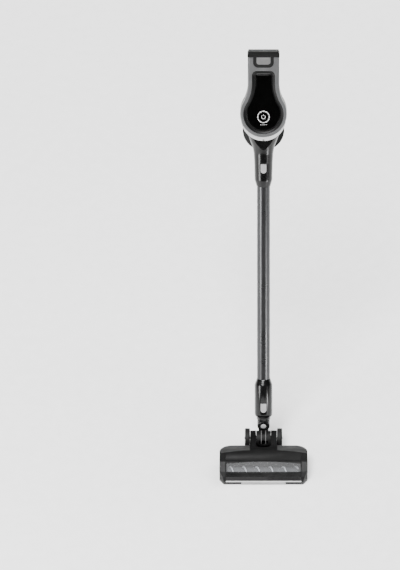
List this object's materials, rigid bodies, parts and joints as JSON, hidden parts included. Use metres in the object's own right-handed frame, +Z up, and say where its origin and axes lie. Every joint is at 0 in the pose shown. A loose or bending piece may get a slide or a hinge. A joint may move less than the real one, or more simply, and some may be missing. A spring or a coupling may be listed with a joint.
{
  "type": "cordless stick vacuum",
  "caption": "Cordless stick vacuum with a handheld motor unit, dust cup, slide-out battery, wand and swivelling powered floor head.",
  "frame": {"origin": "on the floor plane, at the middle of the floor head's sole", "axes": "+Z up; -Y towards the front of the floor head; +X to the right of someone facing that front, across the head"},
  "size_m": [0.243, 0.7385, 1.0116],
  "materials": {
    "satin_grey": "satin",
    "dark_shell": "satin",
    "gloss_black": "polished",
    "bezel_dark": "gloss",
    "bright_trim": "polished",
    "board": "satin",
    "steel": "brushed",
    "light_key": "satin",
    "white_part": "satin",
    "smoke_clear": "clear",
    "filter_cloth": "pleated",
    "seal_rubber": "matt",
    "cell_wrap": "gloss",
    "tube_metal": "anodised",
    "lamp": "frosted",
    "window_tint": "tinted",
    "tuft": "bristle",
    "wheel_tyre": "matt"
  },
  "bodies": {
    "main_unit": {"front_housing": "satin_grey", "rear_housing": "dark_shell", "panel_bezel": "bezel_dark", "front_panel": "gloss_black", "chrome_trim": "bright_trim", "control_board": "board", "body_screws": "steel", "inlet_neck": "gloss_black", "motor_can": "steel", "motor_bearings": "steel", "cyclone_head": "dark_shell", "dust_cup": "smoke_clear", "lid_hinge_pin": "steel", "cyclone_mesh": "steel", "hepa_filter": "filter_cloth", "handle_left": "dark_shell", "handle_right": "dark_shell", "grip_insert": "seal_rubber"},
    "suction_rotor": {"motor_rotor": "steel", "impeller": "white_part"},
    "battery_pack": {"battery_case": "dark_shell", "battery_cells": "cell_wrap", "battery_cap": "gloss_black", "charge_jack": "steel"},
    "battery_key": {"battery_button": "light_key"},
    "trigger_key": {"trigger": "light_key"},
    "mode_key": {"mode_button": "light_key"},
    "wand_key": {"wand_release_button": "light_key"},
    "lid": {"cup_lid": "dark_shell", "lid_seal": "seal_rubber"},
    "latch": {"cup_latch": "light_key"},
    "wand": {"wand_tube": "tube_metal", "wand_top_fitting": "dark_shell", "wand_collar": "gloss_black"},
    "head_key": {"head_release_button": "light_key"},
    "connector": {"connector_neck": "gloss_black", "pivot_cap": "dark_shell", "pivot_pins": "steel"},
    "elbow": {"elbow_duct": "dark_shell"},
    "head": {"head_cover": "dark_shell", "sole_plate": "dark_shell", "end_cap_left": "dark_shell", "end_cap_right": "dark_shell", "brush_window": "window_tint", "front_band": "gloss_black", "front_lip": "light_key", "led_strip": "lamp", "head_duct": "dark_shell", "wheel_axles": "steel", "head_screws": "steel", "brush_bearings": "steel", "brush_motor": "steel", "drive_belt": "seal_rubber"},
    "brush": {"brush_roller": "tuft", "bristles": "tuft"},
    "brush_motor_shaft": {"drive_pulley": "steel"},
    "left_wheel": {"wheel_left": "wheel_tyre"},
    "right_wheel": {"wheel_right": "wheel_tyre"},
    "left_roller": {"front_roller_left": "white_part"},
    "right_roller": {"front_roller_right": "white_part"}
  },
  "joints": [
    {"name": "battery_slide", "type": "slide", "parent": "main_unit", "child": "battery_pack", "axis": [0, 0.4695, 0.8829], "range_m": [0, 0.08]},
    {"name": "battery_button_press", "type": "slide", "parent": "battery_pack", "child": "battery_key", "axis": [0, 0.8829, -0.4695], "range_m": [0, 0.002], "stiffness_N_per_m": 500, "springref_m": -0.002},
    {"name": "trigger_pull", "type": "slide", "parent": "main_unit", "child": "trigger_key", "axis": [0, 0.8829, -0.4695], "range_m": [0, 0.005], "stiffness_N_per_m": 400, "springref_m": -0.005},
    {"name": "mode_button_press", "type": "slide", "parent": "main_unit", "child": "mode_key", "axis": [0, -0.4695, -0.8829], "range_m": [0, 0.0012], "stiffness_N_per_m": 500, "springref_m": -0.0012},
    {"name": "wand_button_press", "type": "slide", "parent": "main_unit", "child": "wand_key", "axis": [0, 0.8829, -0.4695], "range_m": [0, 0.0022], "stiffness_N_per_m": 500, "springref_m": -0.0022},
    {"name": "cup_lid_hinge", "type": "hinge", "parent": "main_unit", "child": "lid", "pos_m": [0, 0.63304, 0.79643], "axis": [1, 0, 0], "range_deg": [0, 100]},
    {"name": "cup_latch_rock", "type": "hinge", "parent": "main_unit", "child": "latch", "pos_m": [0, 0.565, 0.69614], "axis": [-1, 0, 0], "range_deg": [0, 7], "stiffness_Nm_per_rad": 0.2, "springref_deg": -5.73},
    {"name": "suction_spin", "type": "hinge", "parent": "main_unit", "child": "suction_rotor", "pos_m": [0, 0.50799, 0.84027], "axis": [0, 0.8829, -0.4695], "continuous": true},
    {"name": "wand_pull", "type": "slide", "parent": "main_unit", "child": "wand", "axis": [0, -0.4695, -0.8829], "range_m": [0, 0.06]},
    {"name": "head_button_press", "type": "slide", "parent": "wand", "child": "head_key", "axis": [0, 0.8829, -0.4695], "range_m": [0, 0.002], "stiffness_N_per_m": 500, "springref_m": -0.002},
    {"name": "connector_pull", "type": "slide", "parent": "wand", "child": "connector", "axis": [0, -0.4695, -0.8829], "range_m": [0, 0.065]},
    {"name": "head_swivel", "type": "hinge", "parent": "connector", "child": "elbow", "pos_m": [0, 0.108, 0.088], "axis": [0, 1, 0], "range_deg": [-50, 50]},
    {"name": "head_tilt", "type": "hinge", "parent": "elbow", "child": "head", "pos_m": [0, 0.096, 0.034], "axis": [1, 0, 0], "range_deg": [-28, 52]},
    {"name": "brush_spin", "type": "hinge", "parent": "head", "child": "brush", "pos_m": [0, -0.026, 0.018], "axis": [1, 0, 0], "continuous": true},
    {"name": "brush_motor_spin", "type": "hinge", "parent": "head", "child": "brush_motor_shaft", "pos_m": [-0.08, 0.024, 0.026], "axis": [1, 0, 0], "continuous": true},
    {"name": "left_wheel_spin", "type": "hinge", "parent": "head", "child": "left_wheel", "pos_m": [-0.0449, 0.104, 0.0275], "axis": [1, 0, 0], "continuous": true},
    {"name": "right_wheel_spin", "type": "hinge", "parent": "head", "child": "right_wheel", "pos_m": [0.0449, 0.104, 0.0275], "axis": [1, 0, 0], "continuous": true},
    {"name": "left_roller_spin", "type": "hinge", "parent": "head", "child": "left_roller", "pos_m": [-0.088, 0.008, 0.006], "axis": [1, 0, 0], "continuous": true},
    {"name": "right_roller_spin", "type": "hinge", "parent": "head", "child": "right_roller", "pos_m": [0.088, 0.008, 0.006], "axis": [1, 0, 0], "continuous": true}
  ],
  "couplings": [
    {"joint": "brush_motor_spin", "follows": "brush_spin", "ratio": 1.6667}
  ]
}
